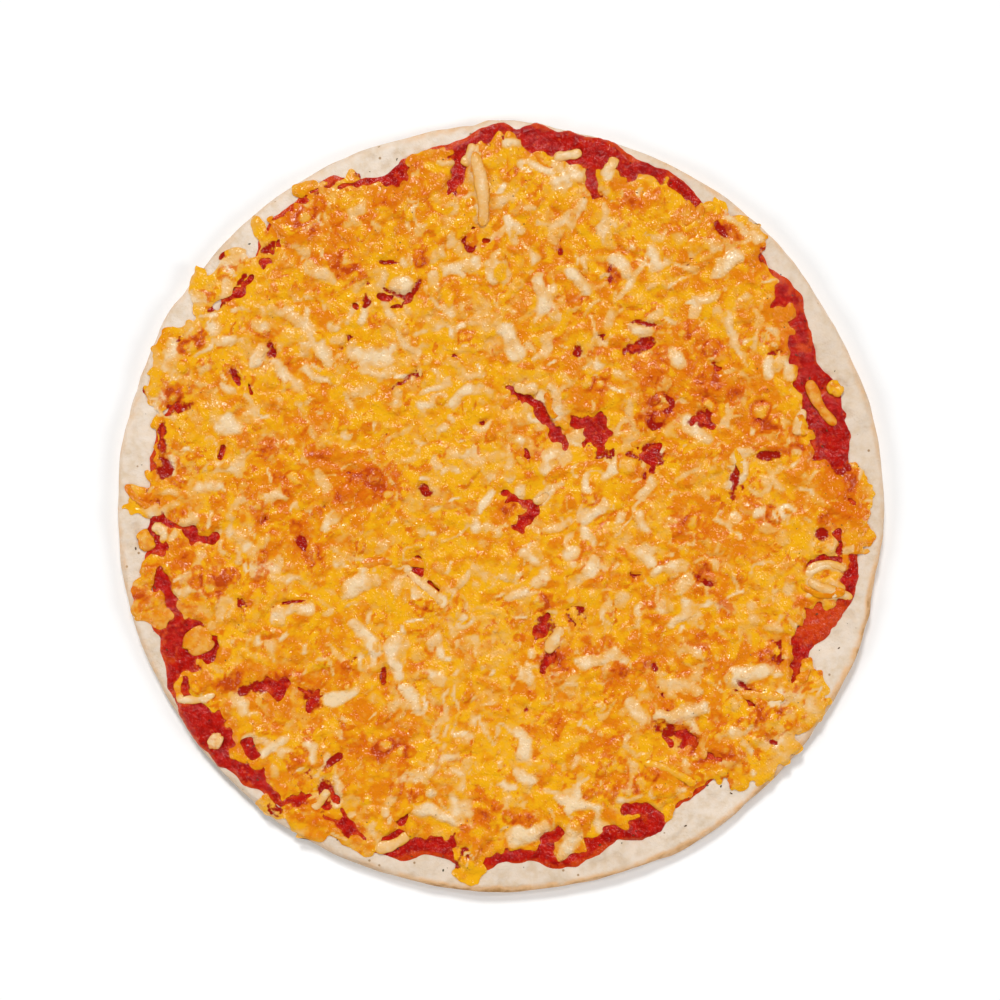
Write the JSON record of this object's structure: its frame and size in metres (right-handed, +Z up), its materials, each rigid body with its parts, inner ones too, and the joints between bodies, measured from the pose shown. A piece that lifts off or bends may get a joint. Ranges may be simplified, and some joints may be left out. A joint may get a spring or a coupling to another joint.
{
  "type": "gluten-free four cheese pizza",
  "caption": "Round thin-crust pizza lying flat: a pale baked base with a bare rim, red tomato sauce and a ragged sheet of melted, browned cheese shreds.",
  "frame": {"origin": "middle of the flat underside of the base, on the surface that the pizza lies on", "axes": "+Z up through the toppings, +Y towards the top of the plan view, +X to its right"},
  "size_m": [0.2536, 0.2554, 0.0103],
  "materials": {
    "baked_base": "pale cream baked dough, dry and finely pitted, golden at its very edge",
    "tomato_sauce": "wet red tomato sauce with fine pulp and an oily orange edge",
    "melted_cheese": "oily melted cheese, yellow orange with browned blisters and pale shreds",
    "cheese_scrap": "single softened shreds and crumbs of cheese, orange or cream"
  },
  "bodies": {
    "root": {"base": "baked_base", "sauce": "tomato_sauce", "cheese": "melted_cheese", "shred_right": "cheese_scrap", "crumb_right": "cheese_scrap", "shred_top": "cheese_scrap", "disc_left": "cheese_scrap", "crumb_lower_left": "cheese_scrap", "shred_bottom": "cheese_scrap", "crumb_left": "cheese_scrap"}
  },
  "joints": []
}
